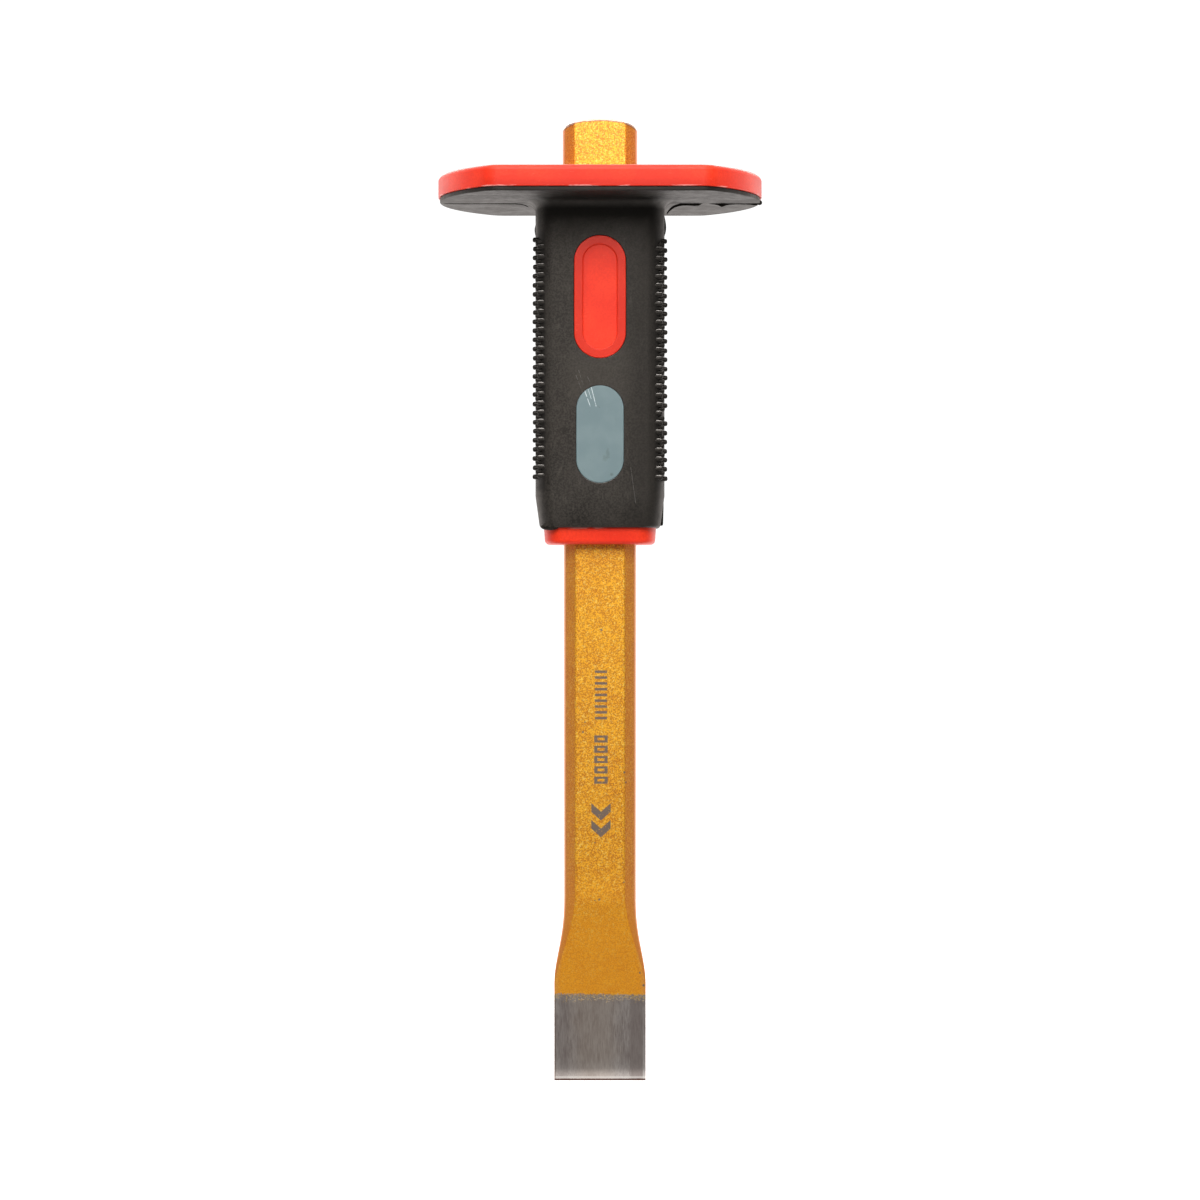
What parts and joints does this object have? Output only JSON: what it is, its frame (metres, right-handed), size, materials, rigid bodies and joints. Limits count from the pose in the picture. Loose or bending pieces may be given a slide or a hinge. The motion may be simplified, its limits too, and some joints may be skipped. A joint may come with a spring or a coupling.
{
  "type": "cold chisel",
  "caption": "Flat cold chisel with a gold-coated flat-octagonal steel shank, bare ground cutting end, and a red and black guarded grip.",
  "frame": {"origin": "middle of the cutting edge, at the foot of the tool standing upright", "axes": "+Z from the cutting edge up to the struck head; +X along the cutting edge; -Y is the front face"},
  "size_m": [0.101, 0.076, 0.3],
  "materials": {
    "gold_coated_steel": "metallic powder coat, bare ground steel at the cutting end",
    "red_plastic": "moulded, semi-gloss",
    "black_rubber": "soft matte, studded at the sides",
    "grey_inlay": "satin, lightly scratched"
  },
  "bodies": {
    "root": {"forged_chisel": "gold_coated_steel", "grip_core": "red_plastic", "grip_overmould": "black_rubber", "front_inlay": "grey_inlay", "back_inlay": "grey_inlay"}
  },
  "joints": []
}
